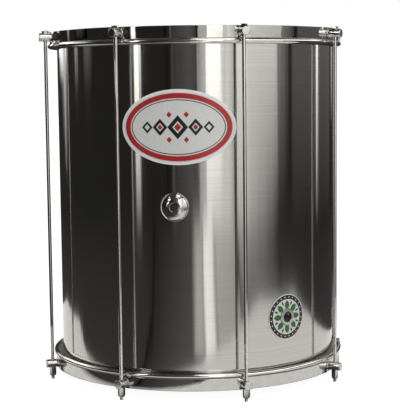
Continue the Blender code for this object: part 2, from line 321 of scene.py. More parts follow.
def bar(radius, bottom, top, sides):
    """An upright cutter bar, round or, with six sides, a hexagon."""
    shape = bmesh.new()
    bmesh.ops.create_cone(
        shape, cap_ends=True, segments=sides, radius1=radius, radius2=radius,
        depth=top - bottom, matrix=Matrix.Translation((0, 0, (top + bottom) / 2)))
    return new_object("cutter", mesh_of("cutter", shape))


def outward(angle, radius, height):
    """Local +Z points straight out of the shell, at an angle from the front."""
    place = (radius * math.sin(angle), -radius * math.cos(angle), height)
    return Matrix.Translation(place) @ Matrix.Rotation(angle, 4, 'Z') \
        @ Matrix.Rotation(math.pi / 2, 4, 'X')


def put(piece, matrix):
    piece.matrix_world = matrix
    bpy.context.view_layer.update()
    return piece


def stands_for(piece, nodes, body):
    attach(piece, body)
    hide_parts(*nodes)


# Materials

film_clearness = 0.35
film_ior = 1.45


def new_material(name):
    material = bpy.data.materials.new(name)
    material.use_nodes = True
    return material, material.node_tree, material.node_tree.nodes["Principled BSDF"]


def add(tree, kind, **settings):
    node = tree.nodes.new(kind)
    for key, value in settings.items():
        setattr(node, key, value)
    return node


def stretched_noise(tree, size, detail, roughness=0.5):
    """Noise in object space. size is the grain's (x, y, z) in metres."""
    place = add(tree, 'ShaderNodeTexCoord')
    scale = add(tree, 'ShaderNodeVectorMath', operation='MULTIPLY')
    scale.inputs[1].default_value = [1 / length for length in size]
    noise = add(tree, 'ShaderNodeTexNoise')
    noise.inputs["Scale"].default_value = 1.0
    noise.inputs["Detail"].default_value = detail
    noise.inputs["Roughness"].default_value = roughness
    tree.links.new(place.outputs["Object"], scale.inputs[0])
    tree.links.new(scale.outputs[0], noise.inputs["Vector"])
    return noise.outputs["Fac"]


def mapped(tree, value, low, high, from_low=0.3, from_high=0.7):
    """The value, from the range that noise mostly keeps to, brought to low and high."""
    node = add(tree, 'ShaderNodeMapRange')
    node.inputs["From Min"].default_value = from_low
    node.inputs["From Max"].default_value = from_high
    node.inputs["To Min"].default_value = low
    node.inputs["To Max"].default_value = high
    tree.links.new(value, node.inputs["Value"])
    return node.outputs["Result"]


def tinted(tree, surface, value, first, second):
    """The surface's colour goes from first to second with the value."""
    node = add(tree, 'ShaderNodeMix', data_type='RGBA')
    node.inputs["A"].default_value = (*first, 1.0)
    node.inputs["B"].default_value = (*second, 1.0)
    tree.links.new(mapped(tree, value, 0.0, 1.0), node.inputs["Factor"])
    tree.links.new(node.outputs["Result"], surface.inputs["Base Color"])


def roughened(tree, surface, value, low, high):
    """The surface's roughness goes from low to high with the value."""
    tree.links.new(mapped(tree, value, low, high), surface.inputs["Roughness"])


def bumped(tree, surface, value, distance):
    """The value raises the surface by up to distance, in metres."""
    node = add(tree, 'ShaderNodeBump')
    node.inputs["Strength"].default_value = 1.0
    node.inputs["Distance"].default_value = distance
    tree.links.new(value, node.inputs["Height"])
    tree.links.new(node.outputs["Normal"], surface.inputs["Normal"])


def brushed_sheet():
    """Rolled sheet, polished with fine lines that run round the drum."""
    material, tree, surface = new_material("shell_metal")
    lines = stretched_noise(tree, size=(0.60, 0.60, 0.0009), detail=3.0, roughness=0.65)
    clouds = stretched_noise(tree, size=(0.10, 0.10, 0.16), detail=4.0)
    waves = stretched_noise(tree, size=(0.016, 0.016, 0.9), detail=2.0)
    tinted(tree, surface, lines, (0.53, 0.522, 0.505), (0.60, 0.592, 0.572))
    surface.inputs["Metallic"].default_value = 1.0
    roughened(tree, surface, clouds, low=0.095, high=0.125)
    surface.inputs["Anisotropic"].default_value = 0.6
    surface.inputs["Anisotropic Rotation"].default_value = 0.25
    tangent = add(tree, 'ShaderNodeTangent', direction_type='RADIAL', axis='Z')
    tree.links.new(tangent.outputs["Tangent"], surface.inputs["Tangent"])
    bumped(tree, surface, waves, distance=0.00022)
    return material


def mill_sheet():
    """The sheet's unpolished inner side."""
    material, tree, surface = new_material("shell_inner_side")
    mottle = stretched_noise(tree, size=(0.02, 0.02, 0.12), detail=4.0)
    tinted(tree, surface, mottle, (0.56, 0.555, 0.54), (0.66, 0.655, 0.64))
    surface.inputs["Metallic"].default_value = 1.0
    roughened(tree, surface, mottle, low=0.50, high=0.62)
    return material


def bright_metal(name, low, high, roughness, grain, bump):
    """Plated or polished metal with a slight mottle. low and high are its tints."""
    material, tree, surface = new_material(name)
    mottle = stretched_noise(tree, size=(grain, grain, grain), detail=4.0)
    tinted(tree, surface, mottle, low, high)
    surface.inputs["Metallic"].default_value = 1.0
    roughened(tree, surface, mottle, low=roughness * 0.8, high=roughness * 1.25)
    bumped(tree, surface, mottle, distance=bump)
    return material


def head_film():
    """A milky film with faint fibres."""
    material, tree, surface = new_material("film_white")
    fibres = stretched_noise(tree, size=(0.0016, 0.0016, 0.0016), detail=5.0, roughness=0.6)
    clouds = stretched_noise(tree, size=(0.07, 0.07, 0.07), detail=4.0)
    tinted(tree, surface, clouds, (0.84, 0.83, 0.79), (0.93, 0.925, 0.89))
    roughened(tree, surface, clouds, low=0.38, high=0.52)
    surface.inputs["Transmission Weight"].default_value = film_clearness
    surface.inputs["IOR"].default_value = film_ior
    bumped(tree, surface, fibres, distance=0.00006)
    return material


def printed(name, low, high, roughness=0.32):
    """A glossy printed or enamelled colour with a faint orange peel."""
    material, tree, surface = new_material(name)
    peel = stretched_noise(tree, size=(0.003, 0.003, 0.003), detail=3.0)
    tinted(tree, surface, peel, low, high)
    roughened(tree, surface, peel, low=roughness * 0.85, high=roughness * 1.2)
    bumped(tree, surface, peel, distance=0.00003)
    return material


shell_metal = brushed_sheet()
shell_inner_side = mill_sheet()
hoop_chrome = bright_metal("hoop_chrome", (0.56, 0.552, 0.534), (0.62, 0.612, 0.592),
                           roughness=0.035, grain=0.012, bump=0.00003)
flesh_metal = bright_metal("flesh_hoop_metal", (0.66, 0.655, 0.635), (0.78, 0.775, 0.755),
                           roughness=0.11, grain=0.008, bump=0.00001)
stud_chrome = bright_metal("stud_chrome", (0.52, 0.514, 0.50), (0.68, 0.672, 0.655),
                           roughness=0.06, grain=0.0028, bump=0.00018)
rod_steel = bright_metal("rod_steel", (0.56, 0.552, 0.535), (0.70, 0.692, 0.672),
                         roughness=0.05, grain=0.003, bump=0.00001)
nut_steel = bright_metal("nut_steel", (0.52, 0.514, 0.50), (0.66, 0.652, 0.635),
                         roughness=0.12, grain=0.002, bump=0.00005)
vent_chrome = bright_metal("vent_chrome", (0.50, 0.492, 0.475), (0.66, 0.65, 0.63),
                           roughness=0.04, grain=0.0024, bump=0.00012)
eyelet_metal = bright_metal("eyelet_metal", (0.46, 0.45, 0.43), (0.56, 0.55, 0.53),
                            roughness=0.30, grain=0.002, bump=0.00003)
washer_steel = bright_metal("washer_steel", (0.42, 0.42, 0.41), (0.54, 0.54, 0.53),
                            roughness=0.34, grain=0.002, bump=0.00003)
film_white = head_film()
badge_silver = printed("badge_silver", (0.66, 0.665, 0.635), (0.72, 0.725, 0.69))
badge_white = printed("badge_white", (0.80, 0.80, 0.78), (0.86, 0.86, 0.84))
badge_red = printed("badge_red", (0.38, 0.012, 0.012), (0.46, 0.018, 0.016))
badge_black = printed("badge_black", (0.010, 0.009, 0.009), (0.020, 0.018, 0.017))
badge_green = printed("badge_green", (0.012, 0.135, 0.020), (0.020, 0.165, 0.028))


# Shell

def make_shell():
    """The rolled sheet with a lip turned in at each end and a hole for each vent.

    The wall has a row of corners above and below each hole, so that the cut stays
    between them.
    """
    middle = shell_radius - lip_radius
    inner = shell_radius - shell_wall
    profile = arc((middle, shell_top - lip_radius), lip_radius, lip_sweep, 0, lip_arc_steps)
    rows = [front_vent_height + hole_margin, front_vent_height - hole_margin,
            side_vent_height + hole_margin, side_vent_height - hole_margin]
    profile += [(shell_radius, height) for height in rows]
    profile += arc((middle, shell_bottom + lip_radius), lip_radius, 0, -lip_sweep, lip_arc_steps)
    profile.append((inner, shell_bottom + 2 * lip_radius))
    profile += [(inner, height) for height in reversed(rows)]
    profile.append((inner, shell_top - 2 * lip_radius))
    shell = lathe("shell_sheet", profile, shell_steps, shell_metal)
    holes = []
    for angle, height, bore in ((front_vent_angle, front_vent_height, front_vent_hole),
                                (side_vent_angle, side_vent_height, side_vent_hole)):
        hole = bar(bore + barrel_wall + hole_play, -cutter_reach, cutter_reach, small_steps)
        holes.append(put(hole, outward(angle, shell_radius, height)))
    cut(shell, holes)
    shell.data.materials.append(shell_inner_side)
    for face in shell.data.polygons:
        faces_in = face.normal.x * face.center.x + face.normal.y * face.center.y < 0
        face.material_index = 1 if faces_in else 0
    stands_for(even_normals(shell), ["shell"], "drum")


# Heads and hoops

def make_head(name, edge, hoop_height, up):
    """Film and flesh hoop at one end of the shell. up is 1 or -1."""
    def flip(points):
        return [(radius, edge + up * height) for radius, height in points]

    hoop = up * (hoop_height - edge)
    groove_radius = band_inner - film_to_band - film_thickness
    film_end = hoop + groove_floor + seat_gap
    lip = (shell_radius - lip_radius, -lip_radius)
    inner_bend = arc(lip, lip_radius + seat_gap, 90, film_bend_end, bend_arc_steps)
    outer_bend = arc(lip, lip_radius + seat_gap + film_thickness, 90, film_bend_end,
                     bend_arc_steps)
    under = [(0.0, seat_gap)] + inner_bend
    under += [(groove_radius - film_lean, film_end + film_grip)]
    under += [(groove_radius, film_end)]
    over = [(0.0, seat_gap + film_thickness)] + outer_bend
    over += [(groove_radius + film_thickness, film_end + film_grip)]
    over += [(groove_radius + film_thickness, film_end)]
    film = lathe(name + "_film_skin", flip(under + list(reversed(over))), hoop_steps,
                 film_white, closed=False)
    stands_for(film, [name + "_film"], "drum")

    inside = groove_radius - groove_play - hoop_radius
    outside = groove_radius + film_thickness + groove_play - hoop_radius
    start = math.degrees(math.acos(outside / wire_radius))
    end = math.degrees(math.acos(inside / wire_radius))
    section = arc((hoop_radius, hoop), wire_radius, start, end - 360, wire_arc_steps)
    section.append((hoop_radius + inside, hoop + groove_floor))
    section.append((hoop_radius + outside, hoop + groove_floor))
    wire = lathe(name + "_flesh_ring", flip(section), hoop_steps, flesh_metal)
    stands_for(wire, [name + "_flesh_hoop"], "drum")


def make_band(node, name, body, top, bottom):
    """A flat strip, drawn in a little along its edge towards the shell. top and bottom are
    its outer radii there."""
    low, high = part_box(node)
    section = filleted([(band_inner, high.z), (top, high.z),
                        (bottom, low.z), (band_inner, low.z)], band_edge_radius)
    band = lathe(name, section, hoop_steps, hoop_chrome)
    stands_for(even_normals(band), [node], body)


# Studs, rods and nuts

def stud_shape(name, seat, up):
    """A stud on local +X with the rod's axis on local Z and a weld at its root.

    seat is the depth of the flat that the rod's head or the nut presses on, on the
    upper side if up is 1 and on the lower side if it is -1.
    """
    root = band_outer - band_flare / 2 - rod_circle
    weld_top = root + seat_gap + weld_radius
    profile = [(0.0, stud_overhang)]
    profile += filleted([(0.0, stud_overhang), (stud_radius, stud_overhang),
                         (stud_radius, root + seat_gap)],
                        stud_edge_radius, edge_arc_steps, closed=False)[1:-1]
    profile += [(stud_radius, weld_top)]
    profile += arc((stud_radius + weld_radius, weld_top), weld_radius, 180, 270,
                   weld_arc_steps)[1:]
    inner_end = band_inner - rod_circle
    profile += [(spigot_radius, root + seat_gap), (spigot_radius, inner_end), (0.0, inner_end)]
    stud = lathe(name, profile, small_steps, stud_chrome, closed=False)
    stud.data.transform(Matrix.Rotation(math.pi / 2, 4, 'Y'))
    hole = bar(stud_hole_radius, -2 * stud_radius, 2 * stud_radius, bore_steps)
    half = hex_across_flats / math.sqrt(3) + seat_margin
    middle = up * (stud_radius - seat + stud_radius)
    shape = bmesh.new()
    bmesh.ops.create_cube(shape, size=2.0,
                          matrix=Matrix.Translation((0, 0, middle))
                          @ Matrix.Diagonal((half, 2 * stud_radius, stud_radius, 1.0)))
    cut(stud, [hole, new_object("cutter", mesh_of("cutter", shape))])
    smooth(stud.data)
    mesh = stud.data
    bpy.data.objects.remove(stud)
    return mesh


def make_studs():
    for level, seat, up, body in (("upper", head_seat_depth, 1, "upper_frame"),
                                  ("lower", nut_seat_depth, -1, "drum")):
        mesh = stud_shape(level + "_lug", seat, up)
        height = centre_of(level + "_counterhoop").z
        for i, axis in enumerate(rod_axes):
            stud = new_object(f"{level}_lug_{i + 1}", mesh)
            angle = piece_angle(axis)
            put(stud, Matrix.Translation(axis + Vector((0, 0, height)))
                @ Matrix.Rotation(angle - math.pi / 2, 4, 'Z'))
            even_normals(stud)
            stands_for(stud, [f"{level}_stud_{i + 1}"], body)


def thread_radius(angle, height):
    """A rolled thread's radius: flat crests and roots with sloping flanks."""
    phase = (height / thread_pitch - angle / math.tau) % 1.0
    slope = min(1.0, max(0.0, abs(phase - 0.5) * thread_flank_slope - thread_crest))
    return rod_radius - thread_depth * slope


def rod_shape():
    """A rod with its lower end at the local origin: thread, shank and hexagon head."""
    shape = bmesh.new()
    head_bottom = rod_top - rod_head_height
    rows = int(thread_length / thread_pitch * thread_rows_in_pitch)
    heights = [thread_pitch * i / thread_rows_in_pitch for i in range(rows + 1)]
    thread_end = heights[-1]
    angles = [math.tau * k / rod_steps for k in range(rod_steps)]
    rings = []

    def add_ring(height, radii):
        rings.append([shape.verts.new((radius * math.cos(angle), radius * math.sin(angle), height))
                      for angle, radius in zip(angles, radii)])

    for height in heights:
        widest = rod_radius - max(0.0, 1.0 - height / rod_tip_chamfer) * rod_tip_chamfer
        fade = min(1.0, (thread_end - height) / thread_pitch)
        threaded = [rod_radius + (thread_radius(angle, height) - rod_radius) * fade
                    for angle in angles]
        add_ring(height, [min(radius, widest) for radius in threaded])
    for height in (thread_end + thread_run_out, (thread_end + head_bottom) / 2,
                   head_bottom + rod_head_overlap):
        add_ring(height, [rod_radius] * rod_steps)
    for lower, upper in zip(rings, rings[1:]):
        for k in range(rod_steps):
            after = (k + 1) % rod_steps
            shape.faces.new((lower[k], lower[after], upper[after], upper[k]))
    shape.faces.new(list(reversed(rings[0])))
    shape.faces.new(rings[-1])
    rod = new_piece("rod_shape", shape, rod_steel, sharp_on_thread)
    head = hexagon("head_shape", head_bottom, rod_top, rod_head_taper,
                   hex_across_flats / 2 - rod_head_edge, 1)
    cut(rod, [head], 'UNION')
    smooth(rod.data, sharp_on_rod)
    mesh = rod.data
    bpy.data.objects.remove(rod)
    return mesh


def hexagon(name, bottom, top, taper, end_radius, up):
    """A hexagon bar with one end turned to a rounded cone: the top one if up is 1, the
    bottom one if it is -1."""
    corner = hex_across_flats / math.sqrt(3)
    wide = corner + hex_corner_play
    turned = [(0.0, top), (end_radius - hex_tip_edge, top)]
    turned += [(end_radius + (wide - end_radius) * across,
                top - taper + (taper - hex_tip_drop) * rise)
               for across, rise in arc((0.0, 0.0), 1.0, 90, 0, bend_arc_steps)]
    turned += [(wide, bottom + hex_base_rise), (corner - hex_base_inset, bottom), (0.0, bottom)]
    if up < 0:
        turned = [(radius, top + bottom - height) for radius, height in reversed(turned)]
    body = lathe(name, turned, hexagon_steps, nut_steel, closed=False)
    prism = bar(corner, bottom - cutter_reach, top + cutter_reach, 6)
    return cut(body, [prism], 'INTERSECT')


def make_rods_and_nuts():
    rod_mesh = rod_shape()
    nut = hexagon("nut_shape", 0.0, nut_high.z - nut_low.z, nut_taper, nut_end_radius, -1)
    cut(nut, [bar(nut_bore_radius, -cutter_reach, 2 * cutter_reach, bore_steps)])
    nut_mesh = nut.data
    smooth(nut_mesh, sharp_on_hexagon)
    bpy.data.objects.remove(nut)
    for i, axis in enumerate(rod_axes):
        turn = Matrix.Translation(axis) @ Matrix.Rotation(piece_angle(axis), 4, 'Z')
        rod = new_object(f"rod_{i + 1}", rod_mesh)
        put(rod, turn)
        stands_for(rod, [f"tension_rod_{i + 1}"], "upper_frame")
        nut = new_object(f"nut_{i + 1}", nut_mesh)
        put(nut, Matrix.Translation((0, 0, nut_low.z)) @ turn)
        stands_for(nut, [f"tension_nut_{i + 1}"], f"nut_{i + 1}")


# Vents

def make_vent(node, name, face, hole, surface, angle, height, material):
    """A turned ring that follows the shell under its rim, with its barrel.

    face is the ring's profile from the bore's mouth to the rim, over surface, the
    radius of what it lies on.
    """
    low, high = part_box(node)
    barrel = hole + barrel_wall
    ring = face + [(face[-1][0], -shell_wall), (hole, -shell_wall)]
    vent = lathe(name, ring, vent_steps, material)
    put(vent, outward(angle, surface, height))
    seat = bar(surface + seat_gap, shell_bottom, shell_top, shell_steps)
    cut(vent, [seat])
    back = Matrix.Rotation(-angle, 4, 'Z')
    corners = [back @ Vector((x, y, height)) for x in (low.x, high.x) for y in (low.y, high.y)]
    roll_end = -max(corner.y for corner in corners) - surface
    roll_start = roll_end + roll_length
    tube = [(hole, face[0][1] / 2), (barrel, face[0][1] / 2)]
    tube += filleted([(barrel, roll_start), (barrel + roll_width, roll_start),
                      (barrel + roll_width, roll_end), (hole, roll_end)], roll_edge_radii)
    sleeve = lathe(name + "_sleeve", tube, vent_steps, material)
    put(sleeve, outward(angle, surface, height))
    cut(vent, [sleeve], 'UNION')
    smooth(vent.data)
    stands_for(vent, [node], "drum")


def front_vent_face():
    """A domed ring that falls to a groove, inside a low rolled rim.

    Shallow rings run round the dome, as the spinning tool leaves them.
    """
    mouth = 0.0008
    groove = front_vent_radius - 0.0026
    groove_rise = 0.0011
    dome_power = 1.6
    rings = 5
    ring_depth = 0.00003
    steps = 84
    rim_centre = (groove + 0.0014, 0.0006)
    rim_radius = 0.0012
    edge_rise = 0.0004
    crown = front_vent_hole + mouth
    drop = front_vent_rise - groove_rise
    face = arc((crown, front_vent_rise - mouth), mouth, 180, 100, 5)
    for i in range(steps + 1):
        share = i / steps
        ring = ring_depth * (1 - math.cos(math.tau * rings * i / steps))
        face.append((crown + (groove - crown) * i / steps,
                     groove_rise + drop * (1 - share ** dome_power) - ring))
    face += arc(rim_centre, rim_radius, 150, 0, 8)
    face.append((front_vent_radius, edge_rise))
    return face


def side_vent_face():
    """A rounded eyelet ring."""
    mouth = 0.0013
    mouth_drop = 0.0016
    flat_end = side_vent_radius - 0.0030
    shoulder = (side_vent_radius - 0.0008, side_vent_rise - 0.0005)
    shoulder_radius = 0.0007
    edge_rise = 0.0006
    face = [(side_vent_hole, side_vent_rise - mouth_drop)]
    face += arc((side_vent_hole + mouth, side_vent_rise - mouth), mouth, 170, 90, 5)
    face += filleted([(flat_end, side_vent_rise), shoulder, (side_vent_radius, edge_rise)],
                     shoulder_radius, 5, closed=False)[1:]
    return face


# Badges

def oval_line(half_width, half_height, points=oval_sides):
    return [(half_width * math.cos(math.tau * i / points),
             half_height * math.sin(math.tau * i / points)) for i in range(points)]


def circle_line(radius, points=oval_sides):
    return oval_line(radius, radius, points)


def lozenge(x, y, half_width, half_height):
    return [(x + half_width, y), (x, y + half_height), (x - half_width, y), (x, y - half_height)]


def petal(turn, near, far, half_width, points=14):
    """A pointed leaf along a spoke from the disc's centre."""
    fullness = 0.8
    outline = []
    for side in (1, -1):
        for i in range(points):
            share = i / points if side > 0 else 1 - i / points
            along = near + (far - near) * share
            swell = math.sin(math.pi * share) ** fullness if 0 < share < 1 else 0.0
            across = side * half_width * swell
            outline.append((along * math.cos(turn) - across * math.sin(turn),
                            along * math.sin(turn) + across * math.cos(turn)))
    return outline


def inlay(name, outlines, place, layer, material, nodes=(), soft=0.0):
    """A thin layer on the shell, with edges rounded by soft. It is cut in strips, so that
    it follows the shell.

    outlines are closed lines of (across, up) points; a line inside another is a hole.
    place is its middle's angle and height, and a slot name, which is not used. layer is from
    how far to how far above the shell it lies.
    """
    angle, height, slot = place
    low, high = layer
    curve = bpy.data.curves.new(name, 'CURVE')
    curve.dimensions = '2D'
    curve.fill_mode = 'BOTH'
    curve.extrude = (high - low) / 2 - soft
    curve.bevel_depth = soft
    curve.offset = -soft
    curve.bevel_resolution = 1
    for outline in outlines:
        spline = curve.splines.new('POLY')
        spline.points.add(len(outline) - 1)
        for point, (across, up) in zip(spline.points, outline):
            point.co = (across, up, 0.0, 1.0)
        spline.use_cyclic_u = True
    drawn = new_object(name + "_drawn", curve)
    bpy.context.view_layer.update()
    graph = bpy.context.evaluated_depsgraph_get()
    flat = bpy.data.meshes.new_from_object(drawn.evaluated_get(graph))
    bpy.data.objects.remove(drawn)
    shape = bmesh.new()
    shape.from_mesh(flat)
    bmesh.ops.remove_doubles(shape, verts=shape.verts, dist=1e-6)
    reach = max(abs(vert.co.x) for vert in shape.verts)
    strip = 0.003
    for k in range(-int(reach / strip), int(reach / strip) + 1):
        everything = shape.verts[:] + shape.edges[:] + shape.faces[:]
        bmesh.ops.bisect_plane(shape, geom=everything, plane_co=(k * strip, 0, 0),
                               plane_no=(1, 0, 0), dist=1e-7)
    for vert in shape.verts:
        turn = angle + math.asin(vert.co.x / shell_radius)
        radius = shell_radius + (low + high) / 2 + vert.co.z
        vert.co = (radius * math.sin(turn), -radius * math.cos(turn), height + vert.co.y)
    bmesh.ops.recalc_face_normals(shape, faces=shape.faces)
    piece = new_piece(name, shape, material, sharp_on_print)
    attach(piece, "drum")
    if nodes:
        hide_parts(*nodes)


def make_front_badge():
    """An oval plate with a red band and a chain of lozenges."""
    place = (badge_angle, badge_height, "front_badge_print")
    field_inset = 0.0045
    red_band = (0.0065, 0.0150)
    thin_line = (0.0172, 0.0186)

    def oval(inset):
        return oval_line(badge_half_width - inset, badge_half_depth - inset)

    inlay("badge_plate", [oval(0.0)], place, plate_layer, badge_white, ["front_badge"],
          plate_edge_radius)
    inlay("badge_field", [oval(field_inset)], place, field_layer, badge_silver)
    inlay("badge_red_band", [oval(inset) for inset in red_band], place, print_layer, badge_red)
    inlay("badge_thin_line", [oval(inset) for inset in thin_line], place, print_layer,
          badge_black)

    # The chain's lozenges as (across, half width), and their shapes as shares of that
    links = [(-0.052, 0.009), (-0.030, 0.0125), (0.0, 0.0175), (0.030, 0.0125), (0.052, 0.009)]
    link_height = 1.15
    hollow_width, hollow_height = 0.52, 0.6
    heart_width, heart_height = 0.34, 0.39
    chain = []
    for x, half in links:
        chain.append(lozenge(x, 0.0, half, half * link_height))
        chain.append(lozenge(x, 0.0, half * hollow_width, half * hollow_height))
    inlay("badge_lozenges", chain, place, print_layer, badge_black)
    drops = [lozenge(x, 0.0, half * heart_width, half * heart_height) for x, half in links[1:-1]]
    drop_half_width, drop_half_height = 0.0045, 0.0052
    drop_across, drop_up = 0.0145, 0.021
    drops += [lozenge(x, y, drop_half_width, drop_half_height)
              for x in (-drop_across, drop_across) for y in (-drop_up, drop_up)]
    inlay("badge_red_lozenges", drops, place, print_layer, badge_red)


def make_side_badge():
    """A disc with a dotted dark border and an eight-petal rosette round the vent."""
    place = (side_vent_angle, side_vent_height, "side_badge_print")
    border = (0.0012, 0.0085)
    field_inset = 0.0095
    bore = circle_line(side_vent_hole + barrel_wall + hole_play)
    inlay("disc_plate", [circle_line(disc_radius), bore], place, plate_layer, badge_white,
          ["side_badge"], plate_edge_radius)
    inlay("disc_border", [circle_line(disc_radius - inset) for inset in border], place,
          field_layer, badge_black)
    inlay("disc_field", [circle_line(disc_radius - field_inset), bore], place, field_layer,
          badge_silver)

    dot_count = 24
    dot_radius = 0.0011
    dot_sides = 12
    dot_ring = disc_radius - 0.0048
    dots = []
    for i in range(dot_count):
        turn = math.tau * (i + 0.5) / dot_count
        dots.append([(dot_ring * math.cos(turn) + x, dot_ring * math.sin(turn) + y)
                     for x, y in circle_line(dot_radius, dot_sides)])
    inlay("disc_dots", dots, place, print_layer, badge_white)

    petal_count = 8
    petals = [petal(math.tau * i / petal_count, near=0.0125, far=0.0287, half_width=0.0050)
              for i in range(petal_count)]
    inlay("disc_petals", petals, place, print_layer, badge_green)
    seeds = [petal(math.tau * (i + 0.5) / petal_count, near=0.0215, far=0.0290, half_width=0.0016)
             for i in range(petal_count)]
    inlay("disc_seeds", seeds, place, print_layer, badge_black)


make_shell()
make_head("upper", shell_top, centre_of("upper_flesh_hoop").z, 1)
make_head("lower", shell_bottom, centre_of("lower_flesh_hoop").z, -1)
make_band("upper_counterhoop", "upper_band", "upper_frame", band_outer, band_outer - band_flare)
make_band("lower_counterhoop", "lower_band", "drum", band_outer - band_flare, band_outer)
make_studs()
make_rods_and_nuts()
make_vent("front_vent", "vent_dome", front_vent_face(), front_vent_hole, shell_radius,
          front_vent_angle, front_vent_height, vent_chrome)
make_vent("side_vent", "vent_eyelet", side_vent_face(), side_vent_hole,
          shell_radius + seat_gap + badge_thickness, side_vent_angle, side_vent_height,
          eyelet_metal)
make_front_badge()
make_side_badge()
for node in ("front_vent_washer", "side_vent_washer"):
    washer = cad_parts[node]
    washer.data.materials.clear()
    washer.data.materials.append(washer_steel)


# Studio

floor_drop = 0.0006
floor_half_size = 20.0
floor_reflectance = 0.40
floor_glow = 0.93
background_glow = 1.0
world_fill = 0.62
white = (1.0, 1.0, 1.0, 1.0)
card_colour = (1.0, 0.985, 0.95, 1.0)
card_grid_turn = 3
card_rows = 12

# A round room that only reflections see, with cards on its wall and floor. Each card on the
# wall is card_step nearer than the one before it. The cards on the floor lie at shares of
# floor_drop above it
wall_radius = 3.0
wall_height = 2.6
room_radius = wall_radius + 0.3
room_centre = 0.01
dark_wall_glow = 0.022
ceiling_glow = 0.06
cloth_glow = 0.055
card_step = 0.004
cloth_rise = floor_drop / 3
floor_card_rise = 0.40
floor_card_step = 0.06

# A softbox under the ceiling, right of the camera
overhead_turns = (-5, 55)
overhead_reach = (0.7, 2.2)
overhead_drop = 0.01
overhead_glow = 2.4
overhead_feather = (0.10, 0.10)

# The white sheet's outline as (turn, radius), and its glow at each radius: it darkens
# under the drum, a painted shadow. Its edge is soft where the turn is in soft_turns
sheet_corners = [(-180, 0.80), (-130, 0.98), (-100, 0.80), (-88, 0.547), (-76, 0.455), (11, 0.65),
                 (34, 0.96), (46, 1.22), (58, 1.18), (70, 1.16), (78, 1.21), (93, 0.87),
                 (117, 0.56), (150, 0.50), (180, 0.80)]
sheet_glow = 0.88
sheet_edge_glow = 0.05
sheet_painted_shadow = [(0.01, 0.03), (0.262, 0.03), (0.285, 0.12), (0.305, 0.50), (0.33, 0.80),
               (0.36, sheet_glow)]
sheet_grid_turn = 3
soft_turns = (-80, 0)
soft_feather = 0.06
crisp_feather = 0.01

# A lamp for the shadow on the floor
lamp_size = (1.6, 1.2)
lamp_power = 26.0
lamp_place = (1.1, -1.7, 2.2)
lamp_aim = Vector((0, 0, 0.3))

# Upright cards: name, turn from, turn to, foot, head, glow at the low and the high corners,
# feather
wall_cards = [
    ("left_back_low", -143, -125, 0.28, 0.56, (0.0, 0.10, 0.10, 0.60), (0.30, 0.0)),
    ("left_back_middle", -150, -125, 0.56, 0.66, (0.10, 0.60, 1.3, 1.7), (0.25, 0.0)),
    ("left_back_high", -151, -125, 0.66, 2.6, (1.7, 1.7, 1.7, 1.7), (0.12, 0.0)),
    ("left_back_line", -135.0, -130.0, 0.20, 2.6, (0.25, 0.25, 4.0, 4.0), (0.30, 0.0)),
    ("left_thin_strip", -112.5, -108.5, 0.52, 2.6, (0.6, 0.6, 2.6, 2.6), (0.30, 0.02)),
    ("left_soft", -102, -87, 0.52, 2.6, (0.18, 0.14, 0.60, 0.40), (0.40, 0.04)),
    ("left_strip", -47.4, -43.2, 0.0, 2.6, (0.18, 0.18, 9.0, 9.0), (0.15, 0.0)),
    ("soft_front", -22, 2.5, 0.0, 2.6, (0.03, 0.12, 0.05, 0.22), (0.20, 0.0)),
    ("soft_streak", -18.6, -15.6, 0.0, 2.6, (0.14, 0.14, 0.08, 0.08), (0.40, 0.0)),
    ("key_left_edge", 2.5, 9, 0.0, 2.6, (0.50, 0.60, 0.90, 0.90), (0.0, 0.0)),
    ("key_softbox", 9, 20.5, 0.0, 2.6, (1.1, 0.9, 5.0, 5.0), (0.0, 0.0)),
    ("key_right_edge", 20.5, 24, 0.0, 2.6, (0.95, 0.95, 0.60, 0.60), (0.0, 0.0)),
    ("key_right_strip", 24, 31, 0.0, 2.6, (1.0, 0.40, 1.6, 1.4), (0.0, 0.0)),
    ("right_near_panel", 31, 41, 0.0, 2.6, (0.72, 0.76, 2.6, 2.2), (0.0, 0.0)),
    ("right_panel", 41, 67, 0.0, 2.6, (0.66, 0.0, 2.0, 3.6), (0.0, 0.0)),
    ("right_fall_off", 67, 79, 0.0, 2.6, (0.0, 0.0, 1.4, 0.35), (0.0, 0.0)),
    ("right_wall", 81, 150, 0.0, 2.6, (0.03, 0.03, 0.45, 0.45), (0.03, 0.0)),
    ("back_softbox", 153, 171, 0.35, 2.6, (0.25, 0.25, 1.6, 1.6), (0.25, 0.08)),
    ("right_thin_strip", 114.5, 118.5, 0.0, 2.6, (0.10, 0.10, 7.0, 7.0), (0.35, 0.0)),
    ("right_upper_bank", 30, 132, 1.15, 2.6, (2.2, 1.2, 3.0, 1.6), (0.08, 0.10)),
    ("left_upper_bank", -170, -88, 1.15, 2.6, (2.6, 0.8, 3.0, 1.0), (0.10, 0.10)),
]

# Cards that lie on the floor: name, turn from, turn to, radius from and to, glow, feather
floor_cards = [
    ("soft_front_streak", -34, 0, 0.42, 3.0, (0.03, 0.13, 0.02, 0.08), (0.10, 0.0)),
    ("key_streak", -4, 33, 0.60, 3.0, (0.62, 0.46, 0.74, 0.50), (0.08, 0.0)),
    ("key_streak_core", 4, 14, 0.50, 3.0, (1.5, 1.1, 1.8, 1.1), (0.25, 0.0)),
    ("right_streak", 31, 68, 1.10, 3.0, (0.28, 0.03, 0.52, 0.03), (0.06, 0.0)),
]


def new_stage_mesh(name, shape, material):
    mesh = mesh_of(name, shape)
    mesh.materials.append(material)
    obj = new_object(name, mesh)
    return obj


